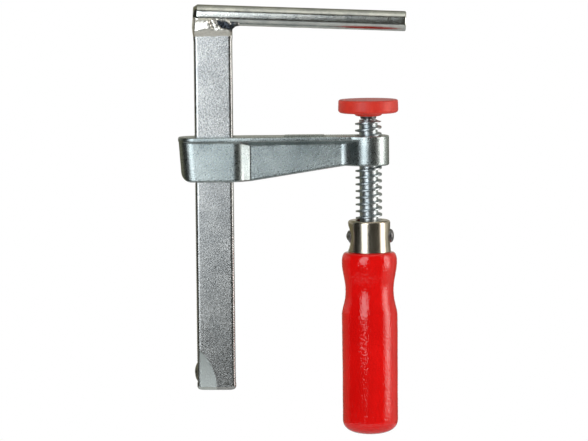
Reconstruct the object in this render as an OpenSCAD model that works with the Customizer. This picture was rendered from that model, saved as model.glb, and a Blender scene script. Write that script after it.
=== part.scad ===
// Table clamp: a serrated rail with a round fixed arm welded across its top, and a sliding arm
// that carries a threaded spindle with a swivel pad above and a turned wooden handle below.
// The spindle's axis is Z, the rail stands at -X, and the origin is where the spindle's axis
// meets the round arm's axis. All sizes are in millimetres.

/* [Rail] */
// Width of the rail, from serrated edge to serrated edge
rail_w = 17.4; // [15:0.2:22]
// Thickness of the rail
rail_t = 7.5; // [6:0.5:9]
// Length of the rail below the round arm's axis
rail_len = 167.5; // [150:0.5:260]
// Rounding along the rail's four long edges
rail_edge_r = 1.6; // [0.8:0.1:2.4]
// Spacing of the grip teeth along the narrow edges
tooth_pitch = 1.1; // [0.9:0.1:2]
// Depth of the grip teeth
tooth_depth = 0.3; // [0.1:0.05:0.4]
// Bare length at each end of a row of teeth
tooth_bare = 3; // [2:0.5:6]
// Length of the pressed stop on the rail's outer edge
stop_len = 7.6; // [5:0.2:10]
// Height of the pressed stop
stop_h = 1.1; // [0.8:0.1:1.6]
// Width of the pressed stop across the rail's edge
stop_w = 4; // [2.5:0.5:5]
// Distance from the rail's end to the middle of the stop
stop_inset = 8; // [7:0.5:16]

/* [Round fixed arm] */
// Diameter of the round arm
arm_d = 9; // [8:0.5:12]
// Clear reach from the rail's inner edge to the spindle's axis
throat = 60; // [45:1:90]
// Length of the round arm past the spindle's axis
arm_tip = 17; // [8:0.5:30]
// How far the round arm leans towards the pad, in degrees
toe_in = 2.4; // [0:0.1:3]
// Bevel on the round arm's two ends
arm_bevel = 0.8; // [0.4:0.1:1.5]
// Radius of the weld bead's section
weld_r = 3.4; // [2.6:0.1:4]
// Drop of the weld bead's middle below the round arm's underside
weld_drop = 0.8; // [0.3:0.1:1.4]
// Depth of the undercut that the weld leaves round the arm beside it
undercut = 0.2; // [0.16:0.02:0.3]
// Width of that undercut
undercut_w = 0.6; // [0.6:0.1:1]

/* [Sliding arm] */
// Height of the housing that runs on the rail
housing_h = 19.8; // [16:0.1:28]
// Wall of the housing on the rail's outer side
heel_wall = 7; // [5:0.2:9]
// Wall of the housing on the rail's inner side
toe_wall = 5.2; // [4:0.2:8]
// Thickness of the housing across the rail
housing_t = 15.6; // [15:0.2:17]
// Corner rounding of the housing seen from above
housing_r = 4.8; // [3:0.2:6]
// Rounding of the housing's lower heel seen from the front
heel_r = 4.6; // [2:0.2:6]
// Thickness of the web between housing and boss
web_t = 6.4; // [5:0.2:9]
// Fillet where the web meets the housing and the boss
web_fillet = 3; // [1:0.2:4]
// Width of the rim along the top of the arm
rim_w = 17; // [16:0.2:18]
// Height of the rim
rim_h = 3.4; // [2.5:0.1:4.5]
// Rounding along the rim's edges
rim_r = 1.3; // [0.5:0.1:1.6]
// Outer diameter of the threaded boss
boss_d = 18.4; // [17:0.2:22]
// Height of the threaded boss
boss_h = 13.3; // [10:0.1:18]
// Length of the plain raised panel on top of the rim
panel_len = 18; // [10:0.5:24]
// Width of the plain raised panel
panel_w = 8; // [5:0.5:11]
// Height of the plain raised panel
panel_h = 0.45; // [0.3:0.05:0.8]
// Distance from the spindle's axis to the near end of the raised panel
panel_start = 19.5; // [14:0.5:24]
// Clearance between the arm's slot and the rail, each side
slide_gap = 0.3; // [0.2:0.05:0.5]

/* [Spindle] */
// Crest diameter of the trapezoidal thread
thread_d = 11.8; // [11:0.1:12.4]
// Core diameter of the thread
core_d = 8.2; // [7.8:0.1:8.8]
// Lead of the single-start right-hand thread
thread_pitch = 3; // [2.5:0.1:4]
// Turns by which the thread's ridge starts below the thread's lower end
ridge_lead = 2.19; // [2.1:0.01:2.9]
// Width of the thread's crest
crest_w = 0.75; // [0.5:0.05:1]
// Width of the thread's foot on the core
foot_w = 1.35; // [1.1:0.05:1.5]
// Clearance of the thread in the boss, radially and along each flank
thread_gap = 0.2; // [0.16:0.02:0.3]
// Diameter of the spindle's plain tail inside the handle
tail_d = 7.4; // [6:0.2:7.6]
// Diameter of the neck under the ball
neck_d = 3.8; // [3:0.1:4.2]
// Length of the neck from the ball's centre to the shoulder
neck_len = 2.9; // [2.8:0.1:5]
// Height of the tapered shoulder under the neck
shoulder_h = 0.7; // [0.5:0.1:1.5]
// Bevel of the core at the thread's two ends
thread_bevel = 0.2; // [0.1:0.05:0.25]

/* [Swivel pad] */
// Opening between round arm and pad as drawn
jaw_open = 30.8; // [26:0.1:40]
// Diameter of the ball on the spindle's end
ball_d = 5.6; // [5:0.1:6]
// Clearance between ball and socket
socket_gap = 0.1; // [0.06:0.02:0.16]
// Thickness of the steel pressure plate above the ball
plate_roof = 0.9; // [0.6:0.1:1.5]
// Thickness of the steel pressure plate's disc
plate_h = 2.3; // [1.8:0.1:3]
// Diameter of the pressure plate's hub
hub_d = 10.4; // [9.8:0.2:11.4]
// Narrowing of the hub towards its lip
hub_taper = 1; // [0.6:0.1:1.2]
// Height of the hub's lip under the ball's centre
lip_drop = 2.5; // [2.4:0.05:3]
// Wire diameter of the retaining ring
wire_d = 0.6; // [0.5:0.05:0.7]
// Clearance between the retaining ring and the ball
ring_gap = 0.12; // [0.08:0.02:0.2]
// Height of the retaining ring under the ball's centre
ring_drop = 1.35; // [1.2:0.05:1.4]
// Opening of the split retaining ring, in degrees
ring_split = 36; // [20:2:60]
// Half of the pad's swivel angle, in degrees
pad_swing = 6; // [3:0.5:7]
// Outer diameter of the plastic cap
cap_d = 26.8; // [22:0.2:32]
// Height of the plastic cap's disc
cap_h = 5.9; // [5.5:0.1:7]
// Thickness of the cap over the plate
cap_roof = 2.2; // [1:0.1:3]
// Wall of the cap around the plate
cap_wall = 1.5; // [1:0.1:2.5]
// Thickness of the cap's collar around the hub
collar_wall = 0.9; // [0.6:0.1:1.4]
// Rounding of the cap's upper edge
cap_r = 1.2; // [0.6:0.1:1.6]
// Clearance between cap and plate
cap_fit = 0.05; // [0.03:0.01:0.1]

/* [Handle] */
// Gap between the swivel pad and the boss as drawn
pad_lift = 7.4; // [6:0.1:16]
// Free thread between the boss and the ferrule as drawn
free_thread = 24.5; // [12:0.1:40]
// Height of the ferrule
ferrule_h = 14.3; // [12:0.1:20]
// Diameter of the ferrule's upper edge
ferrule_top_d = 19; // [18:0.1:20]
// Diameter of the ferrule's lower edge
ferrule_low_d = 19.5; // [18.4:0.1:21]
// Wall of the drawn ferrule
ferrule_wall = 0.8; // [0.6:0.1:1.2]
// Rounding of the ferrule's upper edge
ferrule_r = 1.2; // [0.9:0.1:2]
// Length of the handle below the ferrule
handle_len = 81.8; // [70:0.1:120]
// Diameter of the handle's upper swell
swell_d = 24.9; // [22:0.1:30]
// Distance from the handle's top to the middle of the upper swell
swell_at = 4.2; // [4:0.1:8]
// Diameter of the handle's waist
waist_d = 21.8; // [19:0.1:26]
// Distance from the handle's top to the waist
waist_at = 17; // [14:0.5:24]
// Diameter of the handle's grip
grip_d = 25.2; // [22:0.1:30]
// Distance from the handle's top to the start of the grip
grip_at = 28.5; // [26:0.5:40]
// Lateness of the swell from waist to grip, 1 for an even curve
grip_lag = 1.25; // [1:0.05:1.6]
// Diameter of the handle at its lower end
end_d = 24.9; // [21:0.1:30]
// Rounding of the handle's lower end
end_r = 7; // [2:0.5:8]
// Depth of the tail's bore below the handle's top
bore_depth = 46; // [34:1:60]
// Clearance between wood, ferrule, tail and cross pin
wood_fit = 0.05; // [0.03:0.01:0.1]
// Diameter of the cross pin through ferrule and tail
pin_d = 4; // [3:0.2:4.4]
// Distance from the ferrule's upper edge to the cross pin
pin_drop = 7.2; // [6.4:0.1:9]
// Diameter of the cross pin's domed head
head_d = 6.2; // [5:0.1:7]
// Height of the cross pin's domed head
head_h = 1.9; // [1.2:0.1:2.4]
// Diameter of the cross pin's riveted end
rivet_d = 4.8; // [4.6:0.1:6]
// Height of the cross pin's riveted end
rivet_h = 1; // [0.6:0.1:1.6]

/* [Hidden] */

$fn = 64;
thread_sides = 24; // facets in one turn of thread
past = 1;          // how far a cutting shape runs past what it cuts
sink = 0.4;        // how deep one shape is sunk into another that it is fused to

// Rail and round arm
rail_in = -throat;
rail_out = rail_in - rail_w;
rail_mid = (rail_in + rail_out) / 2;
rail_top = arm_axis_z(rail_mid);
rail_end = rail_top - rail_len;
stop_mid = rail_end + stop_inset;
root_len = -rail_out / cos(toe_in);
bead_in = rail_in - weld_r / 3;
bead_out = rail_out + weld_r * 0.85;
weld_toe = bead_in + weld_r + undercut_w;

// Levels down the spindle's axis, with the pad's face as the first
pad_face = -arm_d / 2 - jaw_open;
ball_r = ball_d / 2;
ball_z = pad_face - cap_roof - cap_fit - plate_roof - socket_gap - ball_r;
pad_low = ball_z - lip_drop;
boss_top = pad_low - pad_lift;
boss_low = boss_top - boss_h;
housing_low = boss_top - housing_h;
ferrule_top = boss_low - free_thread;
handle_top = ferrule_top - ferrule_h;
handle_low = handle_top - handle_len;
pin_z = ferrule_top - pin_drop;

// Thread
core_r = core_d / 2;
crest_r = thread_d / 2;
thread_top = ball_z - neck_len - shoulder_h;
thread_low = ferrule_top - thread_pitch;
thread_start = thread_low - ridge_lead * thread_pitch;
nut_start = thread_start + thread_pitch * floor((boss_low - thread_start) / thread_pitch - 1);

// Swivel
wire_r = wire_d / 2;
ring_r = sqrt(pow(ball_r + ring_gap + wire_r, 2) - pow(ring_drop, 2));
ring_reach = ring_r + wire_r;
swing_up = ring_reach * sin(pad_swing);
swing_out = ring_drop * sin(pad_swing);
groove_r = ring_reach + swing_out + ring_gap / 2;
groove_half = wire_r + swing_up + ring_gap / 2;
mouth_r = ball_r + socket_gap + ring_gap / 4;
plate_r = cap_d / 2 - cap_wall - cap_fit;
plate_top = pad_face - cap_roof - cap_fit;
hub_r = hub_d / 2;
lip_r = hub_r - hub_taper;
cap_low = pad_face - cap_h;

// Ferrule and handle
ferrule_top_r = ferrule_top_d / 2;
ferrule_low_r = ferrule_low_d / 2;
thread_hole_r = crest_r + thread_gap;
tail_r = tail_d / 2;
tenon_top = ferrule_top - ferrule_wall - wood_fit;
tail_low = handle_top - bore_depth + past;

// Height of the round arm's axis at a given x
function arm_axis_z(x) = -x * tan(toe_in);

// Outer radius of the ferrule at a given height
function ferrule_r_at(z) =
    ferrule_top_r + (ferrule_low_r - ferrule_top_r) * (ferrule_top - z) / ferrule_h;

// A smooth step from a to b while t goes from 0 to 1
function ease(a, b, t) = a + (b - a) * (1 - cos(180 * t)) / 2;

// Radius of a cap whose chord is d wide and whose height is h
function dome_r(d, h) = (d * d / 4 + h * h) / (2 * h);

// Points of an arc in a plane
function arc(cx, cy, r, from, to, steps = 8) =
    [for (i = [0 : steps]) let (a = from + (to - from) * i / steps) [cx + r * cos(a), cy + r * sin(a)]];

// Flat outline of a bar with rounded corners, from x0 to x1 and half wide each side of the x axis
module rounded_bar(x0, x1, half, r0, r1) {
    translate([x0 + r0, -half]) square([x1 - r1 - x0 - r0, 2 * half]);
    translate([x0, r0 - half]) square([r0 + sink, 2 * (half - r0)]);
    translate([x1 - r1 - sink, r1 - half]) square([r1 + sink, 2 * (half - r1)]);
    for (side = [-1, 1]) {
        translate([x0 + r0, side * (half - r0)]) circle(r0);
        translate([x1 - r1, side * (half - r1)]) circle(r1);
    }
}

// Turns a flat outline drawn in x and z into a slab of the given depth, centred on y
module upright(depth) {
    translate([0, depth / 2, 0]) rotate([90, 0, 0]) linear_extrude(depth) children();
}

// One closed solid: a core from z0 to z1 with a single helical ridge around it. The ridge's middle
// starts at the height start, and it rises and falls over its first and last quarter turn. It is
// foot wide on the core and top wide at its crest.
module threaded_core(core, crest, foot, top, z0, z1, start) {
    sides = thread_sides;
    fade = sides / 4;
    steps = floor((z1 - start - foot / 2) * sides / thread_pitch - 1);
    function height(i) = core + (crest - core) * min(fade, i + 1, steps - i + 1) / fade;
    function at(i, r, z) = [r * cos(360 * i / sides), r * sin(360 * i / sides), z];
    function middle(i) = start + thread_pitch * i / sides;
    ridge = [for (i = [0 : steps]) each [
        at(i, core, middle(i) - foot / 2),
        at(i, height(i), middle(i) - top / 2),
        at(i, height(i), middle(i) + top / 2),
        at(i, core, middle(i) + foot / 2)]];
    ends = [for (z = [z0, z1], i = [0 : sides - 1]) at(i, core, z)];
    low = len(ridge);
    high = low + sides;
    function low_at(i) = low + i % sides;
    function high_at(i) = high + i % sides;
    last = steps - sides;
    faces = concat(
        [for (i = [0 : steps - 1], j = [0, 2]) each [
            [4 * i + j + 1, 4 * i + 5 + j, 4 * i + j],
            [4 * i + 5 + j, 4 * i + 4 + j, 4 * i + j]]],
        [for (i = [0 : steps - 1]) [4 * i + 2, 4 * i + 6, 4 * i + 5, 4 * i + 1]],
        [for (i = [0 : last - 1])
            [4 * (i + sides), 4 * (i + sides + 1), 4 * i + 7, 4 * i + 3]],
        [for (i = [0 : sides - 2]) [4 * i, 4 * i + 4, low_at(i + 1), low_at(i)]],
        [[4 * (sides - 1), 4 * sides, 3, 0, low_at(0), low_at(sides - 1)], [3, 2, 1, 0]],
        [for (i = [last + 1 : steps - 1]) [high_at(i), high_at(i + 1), 4 * i + 7, 4 * i + 3]],
        [[high_at(last), high_at(last + 1), 4 * last + 7, 4 * last + 3, 4 * steps, 4 * steps + 3],
         [4 * steps, 4 * steps + 1, 4 * steps + 2, 4 * steps + 3]],
        [[for (i = [0 : sides - 1]) low + i]],
        [[for (i = [sides - 1 : -1 : 0]) high + i]]);
    polyhedron(points = concat(ridge, ends), faces = faces);
}

// Places children on the round arm's axis, with their z along the arm towards its tip
module along_arm() {
    rotate([0, 90 + toe_in, 0]) children();
}

// The round arm's outside, with its root run on by extra for use as a cutting shape
module round_arm_shape(extra = 0) {
    r = arm_d / 2;
    along_arm() {
        translate([0, 0, arm_bevel - root_len - extra])
            cylinder(h = root_len + extra + arm_tip - 2 * arm_bevel, r = r);
        translate([0, 0, -root_len - extra]) cylinder(h = arm_bevel, r1 = r - arm_bevel, r2 = r);
        translate([0, 0, arm_tip - arm_bevel]) cylinder(h = arm_bevel, r1 = r, r2 = r - arm_bevel);
    }
}

module fixed_arm() {
    color("silver") difference() {
        round_arm_shape();
        along_arm() translate([0, 0, weld_toe]) difference() {
            cylinder(h = undercut_w, r = arm_d / 2 + past);
            translate([0, 0, -past]) cylinder(h = undercut_w + 2 * past, r = arm_d / 2 - undercut);
        }
    }
}

// The rail seen from the front, with a row of teeth along each narrow edge
module rail_outline() {
    teeth_low = rail_end + tooth_bare;
    count = floor((rail_len - arm_d / 2 - 2 * tooth_bare) / tooth_pitch);
    inner = [for (i = [0 : count - 1]) let (z = teeth_low + i * tooth_pitch)
        each [[rail_in, z], [rail_in - tooth_depth, z + tooth_pitch / 2]]];
    outer = [for (i = [count - 1 : -1 : 0]) let (z = teeth_low + i * tooth_pitch)
        each [[rail_out + tooth_depth, z + tooth_pitch / 2], [rail_out, z]]];
    polygon(concat(
        [[rail_in, rail_end]], inner, [[rail_in, teeth_low + count * tooth_pitch]],
        [[rail_in, rail_top], [rail_out, rail_top], [rail_out, teeth_low + count * tooth_pitch]],
        outer, [[rail_out, rail_end]]));
}

module rail() {
    stop_r = dome_r(stop_len, stop_h);
    color("lightgray") {
        difference() {
            intersection() {
                upright(rail_t) rail_outline();
                translate([0, 0, rail_end]) linear_extrude(rail_len)
                    rounded_bar(rail_out, rail_in, rail_t / 2, rail_edge_r, rail_edge_r);
            }
            round_arm_shape(extra = past);
        }
        intersection() {
            translate([rail_out - stop_h + stop_r, 0, stop_mid]) rotate([90, 0, 0])
                cylinder(h = stop_w, r = stop_r, center = true);
            translate([rail_out - past - stop_h, -stop_w, stop_mid - stop_len])
                cube([past + stop_h + tooth_depth + sink, 2 * stop_w, 2 * stop_len]);
        }
    }
}

// A fat bead along each face of the rail, closed round both of its edges
module weld_bead() {
    bead_y = rail_t / 2 + arm_d / 6 - weld_r + sink;
    color("darkgray") difference() {
        for (side = [-1, 1]) translate([0, side * bead_y, rail_top - arm_d / 2 - weld_drop]) {
            translate([bead_out, 0, 0]) rotate([0, 90, 0]) cylinder(h = bead_in - bead_out, r = weld_r);
            translate([bead_in, 0, 0]) sphere(weld_r);
            translate([bead_out, 0, 0]) sphere(weld_r);
        }
        round_arm_shape(extra = past);
        translate([rail_out, -rail_t / 2, rail_end]) cube([rail_w, rail_t, rail_len]);
    }
}

// The sliding arm seen from above, under its rim
module arm_plan() {
    heel = rail_out - slide_gap - heel_wall;
    toe = rail_in + slide_gap + toe_wall;
    rounded_bar(heel, toe, housing_t / 2, housing_r, housing_r);
    translate([toe - sink, -web_t / 2]) square([-toe + sink, web_t]);
    circle(d = boss_d);
    reach = web_t / 2 + web_fillet;
    boss_x = -sqrt(pow(boss_d / 2 + web_fillet, 2) - reach * reach);
    for (side = [-1, 1]) difference() {
        union() {
            translate([toe - sink, side * web_t / 2 - (side < 0 ? web_fillet : 0)])
                square([web_fillet + sink, web_fillet]);
            translate([boss_x, side * web_t / 2 - (side < 0 ? web_fillet : 0)])
                square([-boss_x, web_fillet]);
        }
        translate([toe + web_fillet, side * reach]) circle(web_fillet);
        translate([boss_x, side * reach]) circle(web_fillet);
    }
}

// The sliding arm seen from the front: deep housing, tapering web and boss
module arm_outline() {
    heel = rail_out - slide_gap - heel_wall;
    toe = rail_in + slide_gap + toe_wall;
    translate([heel + heel_r, housing_low + heel_r]) circle(heel_r);
    polygon([
        [heel, boss_top], [heel, housing_low + heel_r], [heel + heel_r, housing_low + heel_r],
        [heel + heel_r, housing_low], [toe + web_fillet, housing_low],
        [-boss_d / 2, boss_low], [boss_d / 2, boss_low], [boss_d / 2, boss_top]]);
}

module arm_rim() {
    heel = rail_out - slide_gap - heel_wall;
    intersection() {
        translate([0, 0, boss_top - rim_h]) linear_extrude(rim_h)
            rounded_bar(heel, 0, rim_w / 2, housing_r, sink);
        translate([heel, 0, boss_top - rim_h / 2]) rotate([0, 90, 0])
            linear_extrude(-heel) rotate(90) rounded_bar(-rim_w / 2, rim_w / 2, rim_h / 2, rim_r, rim_r);
    }
}

module sliding_arm() {
    color("lightsteelblue") difference() {
        union() {
            intersection() {
                translate([0, 0, housing_low]) linear_extrude(housing_h) arm_plan();
                upright(2 * boss_d) arm_outline();
            }
            arm_rim();
            translate([-panel_start - panel_len, -panel_w / 2, boss_top - sink])
                cube([panel_len, panel_w, panel_h + sink]);
        }
        translate([rail_out - slide_gap, -rail_t / 2 - slide_gap, housing_low - past])
            cube([rail_w + 2 * slide_gap, rail_t + 2 * slide_gap, housing_h + 2 * past]);
        threaded_core(core_r + thread_gap, crest_r + thread_gap, foot_w + 2 * thread_gap,
            crest_w + 2 * thread_gap, nut_start - thread_pitch, boss_top + 2 * thread_pitch, nut_start);
    }
}

module cross_pin_shaft(r) {
    translate([0, 0, pin_z]) rotate([0, 90, 0]) cylinder(h = 2 * ferrule_low_r, r = r, center = true);
}

// The bounds of the thread: bevelled at both ends, so that the ridge runs out there
module thread_bounds() {
    wide = crest_r + past;
    root = core_r - thread_bevel;
    rotate_extrude() polygon([
        [0, thread_low], [root, thread_low], [wide, thread_low + wide - root],
        [wide, thread_top - wide + root], [root, thread_top], [0, thread_top]]);
}

module spindle() {
    color("silver") difference() {
        union() {
            intersection() {
                threaded_core(core_r, crest_r, foot_w, crest_w, thread_low - 3 * thread_pitch,
                    thread_top + 3 * thread_pitch, thread_start);
                thread_bounds();
            }
            translate([0, 0, tail_low]) cylinder(h = thread_low + sink - tail_low, r = tail_r);
            translate([0, 0, thread_top - sink]) cylinder(h = sink, r = tail_r);
            translate([0, 0, thread_top]) cylinder(h = shoulder_h, r1 = tail_r, r2 = neck_d / 2);
            translate([0, 0, thread_top]) cylinder(h = ball_z - thread_top, d = neck_d);
            translate([0, 0, ball_z]) rotate([90, 0, 0]) sphere(ball_r);
        }
        cross_pin_shaft(pin_d / 2 + wood_fit);
    }
}

module retaining_ring() {
    color("dimgray") translate([0, 0, ball_z - ring_drop]) rotate(ring_split / 2)
        rotate_extrude(angle = 360 - ring_split) translate([ring_r, 0]) circle(wire_r);
}

module pressure_plate() {
    color("gray") difference() {
        rotate_extrude() polygon([
            [0, plate_top], [plate_r, plate_top], [plate_r, plate_top - plate_h],
            [hub_r, plate_top - plate_h], [hub_r, ball_z - ring_drop], [lip_r, pad_low], [0, pad_low]]);
        translate([0, 0, ball_z]) sphere(ball_r + socket_gap);
        translate([0, 0, pad_low - past]) cylinder(h = ball_z - pad_low + past, r = mouth_r);
        translate([0, 0, ball_z - ring_drop - groove_half]) cylinder(h = 2 * groove_half, r = groove_r);
    }
}

// A soft cover that wraps the plate's top, edge and underside and ends in a collar round the hub
module protective_cap() {
    r = cap_d / 2;
    inner_low = plate_top - plate_h - cap_fit;
    low_r = cap_r / 2;
    hub_in = hub_r + cap_fit;
    collar_low = ball_z - ring_drop;
    collar_r = hub_in + collar_wall;
    color("firebrick") rotate_extrude() polygon(concat(
        [[0, pad_face]],
        arc(r - cap_r, pad_face - cap_r, cap_r, 90, 0),
        arc(r - low_r, cap_low + low_r, low_r, 0, -90),
        [[collar_r, cap_low], [collar_r, collar_low + collar_wall]],
        [[hub_in, collar_low], [hub_in, inner_low]],
        [[plate_r + cap_fit, inner_low], [plate_r + cap_fit, plate_top + cap_fit]],
        [[0, plate_top + cap_fit]]));
}

module ferrule() {
    inner = ferrule_top - ferrule_wall;
    color("gainsboro") difference() {
        rotate_extrude() polygon(concat(
            [[thread_hole_r, inner], [thread_hole_r, ferrule_top]],
            arc(ferrule_top_r - ferrule_r, ferrule_top - ferrule_r, ferrule_r, 90, 0),
            [[ferrule_low_r, handle_top], [ferrule_low_r - ferrule_wall, handle_top],
             [ferrule_top_r - ferrule_wall, inner]]));
        cross_pin_shaft(pin_d / 2 + wood_fit);
    }
}

// A domed rivet head on the +X side, trimmed to the ferrule that it sits on
module rivet_head(d, h) {
    r = dome_r(d, h);
    rim_angle = asin(d / 2 / r);
    difference() {
        translate([ferrule_r_at(pin_z), 0, pin_z]) rotate([0, 90, 0]) rotate_extrude()
            polygon(concat([[0, -past], [d / 2, -past]], arc(0, h - r, r, 90 - rim_angle, 90)));
        translate([0, 0, handle_top])
            cylinder(h = ferrule_h, r1 = ferrule_low_r, r2 = ferrule_top_r);
    }
}

module cross_pin() {
    shaft = 2 * ferrule_r_at(pin_z) + sink;
    color("silver") {
        translate([0, 0, pin_z]) rotate([0, 90, 0]) cylinder(h = shaft, d = pin_d, center = true);
        rivet_head(head_d, head_h);
        mirror([1, 0, 0]) rivet_head(rivet_d, rivet_h);
    }
}

// Half of the handle's outline, from its tenon in the ferrule down to its rounded end
module handle_profile() {
    steps = 8;
    top_r = ferrule_low_r + wood_fit;
    function down(d) = handle_top - d;
    function stretch(r0, d0, r1, d1, lag = 1) = [for (i = [1 : steps]) let (t = i / steps)
        [ease(r0, r1, pow(t, lag)), down(d0 + (d1 - d0) * t)]];
    polygon(concat(
        [[0, tenon_top], [ferrule_top_r - ferrule_wall - wood_fit, tenon_top]],
        [[ferrule_low_r - ferrule_wall - wood_fit, handle_top], [top_r, handle_top]],
        [for (i = [1 : steps]) let (t = i / steps)
            [top_r + (swell_d / 2 - top_r) * sin(90 * t), down(swell_at * (1 - cos(90 * t)))]],
        stretch(swell_d / 2, swell_at, waist_d / 2, waist_at),
        stretch(waist_d / 2, waist_at, grip_d / 2, grip_at, grip_lag),
        arc(end_d / 2 - end_r, handle_low + end_r, end_r, 0, -90),
        [[0, handle_low]]));
}

module handle() {
    color("red") difference() {
        rotate_extrude() handle_profile();
        translate([0, 0, handle_top - bore_depth])
            cylinder(h = bore_depth + ferrule_h, r = tail_r + wood_fit);
        translate([0, 0, thread_low - wood_fit])
            cylinder(h = ferrule_h + thread_pitch, r = thread_hole_r);
        cross_pin_shaft(pin_d / 2 + wood_fit);
    }
}

rail();
fixed_arm();
weld_bead();
sliding_arm();
spindle();
retaining_ring();
pressure_plate();
protective_cap();
ferrule();
cross_pin();
handle();
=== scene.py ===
import math

import bpy
import numpy as np
from mathutils import Matrix, Vector


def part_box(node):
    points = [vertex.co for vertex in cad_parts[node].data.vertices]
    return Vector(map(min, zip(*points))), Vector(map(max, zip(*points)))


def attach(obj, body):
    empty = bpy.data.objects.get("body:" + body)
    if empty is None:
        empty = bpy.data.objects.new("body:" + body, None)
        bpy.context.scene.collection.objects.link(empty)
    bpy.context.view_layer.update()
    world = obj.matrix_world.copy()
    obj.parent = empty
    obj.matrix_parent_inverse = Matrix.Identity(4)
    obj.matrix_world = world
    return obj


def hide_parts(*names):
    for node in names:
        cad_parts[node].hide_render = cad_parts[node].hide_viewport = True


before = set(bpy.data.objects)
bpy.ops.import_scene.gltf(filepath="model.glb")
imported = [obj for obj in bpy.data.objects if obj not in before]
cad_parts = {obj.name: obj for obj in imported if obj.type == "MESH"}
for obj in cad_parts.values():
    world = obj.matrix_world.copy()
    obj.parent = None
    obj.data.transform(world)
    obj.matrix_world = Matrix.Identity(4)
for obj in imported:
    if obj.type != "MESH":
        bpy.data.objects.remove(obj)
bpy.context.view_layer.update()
print("frame loaded")

mm = 0.001       # the meshes are worked out in millimetres and stored in metres
joinSteps = 2e4  # steps to a millimetre: points that fall on the same step are joined
fullTurn = 2 * math.pi


def nodeBox(name):
    # lowest and highest corner of a CAD node, in millimetres
    low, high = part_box(name)
    return np.array(low) / mm, np.array(high) / mm


# small helpers for meshes

def smoothStep(low, high, value):
    # 0 below low, 1 above high, an S-curve between them
    t = np.clip((value - low) / (high - low), 0, 1)
    return t * t * (3 - 2 * t)


def wobble(a, b, seed=0.0):
    # a calm irregular field between about -1 and 1: five sines whose periods never line up
    return (np.sin(1.31 * a + 0.73 * b + seed) + np.sin(0.57 * a - 1.67 * b + 2.1 * seed)
            + np.sin(2.23 * a + 1.19 * b + 4.3 + seed) + 0.6 * np.sin(3.71 * a - 2.9 * b + 1.7 * seed)
            + 0.4 * np.sin(5.3 * a + 4.7 * b + 0.9 + seed)) / 2.6


def smoothThrough(stations, values, fine):
    # a curve through given points with slopes from their neighbours (cubic Hermite)
    s, v = np.array(stations, float), np.array(values, float)
    slope = np.gradient(v, s)
    i = np.clip(np.searchsorted(s, fine, side="right") - 1, 0, len(s) - 2)
    h = s[i + 1] - s[i]
    t = (fine - s[i]) / h
    return ((1 + 2 * t) * (1 - t) ** 2 * v[i] + t * (1 - t) ** 2 * h * slope[i]
            + t * t * (3 - 2 * t) * v[i + 1] + t * t * (t - 1) * h * slope[i + 1])


def gridQuads(rows, columns, wrap=True):
    # corner numbers of the cells of a rows x columns grid, joined round the columns where wrap is set
    r, c = np.meshgrid(np.arange(rows - 1), np.arange(columns if wrap else columns - 1), indexing="ij")
    nextC = (c + 1) % columns
    return np.stack([r * columns + c, r * columns + nextC,
                     (r + 1) * columns + nextC, (r + 1) * columns + c], -1).reshape(-1, 4)


def makePiece(name, points, quads, body, material, node, creaseAngle=38, marks=None):
    # joins points that lie on each other, so that poles and seams close, and turns cells that lose a
    # corner by it into triangles; marks are values at the points that the material reads
    points = np.asarray(points, float).reshape(-1, 3)
    steps = np.round(points * joinSteps).astype(np.int64)
    _, first, number = np.unique(steps, axis=0, return_index=True, return_inverse=True)
    points = points[first] * mm
    quads = number.reshape(-1)[quads]
    same = quads == np.roll(quads, -1, axis=1)
    whole = quads[~same.any(1)]
    single = same.sum(1) == 1
    triangles = quads[single][~same[single]].reshape(-1, 3)
    corners = np.concatenate([whole.ravel(), triangles.ravel()])
    starts = np.concatenate([np.arange(len(whole)) * 4, whole.size + np.arange(len(triangles)) * 3])
    mesh = bpy.data.meshes.new(name)
    mesh.vertices.add(len(points))
    mesh.vertices.foreach_set("co", points.astype(np.float32).ravel())
    mesh.loops.add(len(corners))
    mesh.loops.foreach_set("vertex_index", corners.astype(np.int32))
    mesh.polygons.add(len(starts))
    mesh.polygons.foreach_set("loop_start", starts.astype(np.int32))
    mesh.update(calc_edges=True)
    mesh.validate()
    mesh.polygons.foreach_set("use_smooth", np.ones(len(mesh.polygons), bool))
    mesh.set_sharp_from_angle(angle=math.radians(creaseAngle))
    for key, value in (marks or {}).items():
        layer = mesh.attributes.new(key, "FLOAT", "POINT")
        layer.data.foreach_set("value", np.asarray(value, np.float32).reshape(-1)[first])
    piece = bpy.data.objects.new(name, mesh)
    bpy.context.scene.collection.objects.link(piece)
    mesh.materials.append(material)
    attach(piece, body)
    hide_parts(node)
    print(name, len(mesh.polygons), "faces")


def arcPoints(centreR, centreZ, radius, start, end, steps):
    # points of a circle's arc, angles in degrees
    a = np.radians(np.linspace(start, end, steps))
    return np.stack([centreR + radius * np.cos(a), centreZ + radius * np.sin(a)], -1)


def alongProfile(profile, spacing):
    # the same broken line with extra points, so that no stretch is longer than spacing
    profile = np.asarray(profile, float)
    lengths = np.hypot(*np.diff(profile, axis=0).T)
    counts = np.maximum(1, np.ceil(lengths / spacing).astype(int))
    station = np.concatenate([[0.0], np.cumsum(lengths)])
    fine = np.concatenate([np.linspace(a, b, n, endpoint=False)
                           for a, b, n in zip(station[:-1], station[1:], counts)] + [station[-1:]])
    return np.stack([np.interp(fine, station, side) for side in profile.T], -1)


def turned(profile, sides):
    # a profile of radius and height carried round the z axis: x = r cos a, y = r sin a
    profile = np.asarray(profile, float)
    a = np.arange(sides) * fullTurn / sides
    r, z = profile[:, :1], profile[:, 1:]
    points = np.stack([r * np.cos(a), r * np.sin(a), z + 0 * a], -1)
    return points, gridQuads(len(profile), sides)


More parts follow.
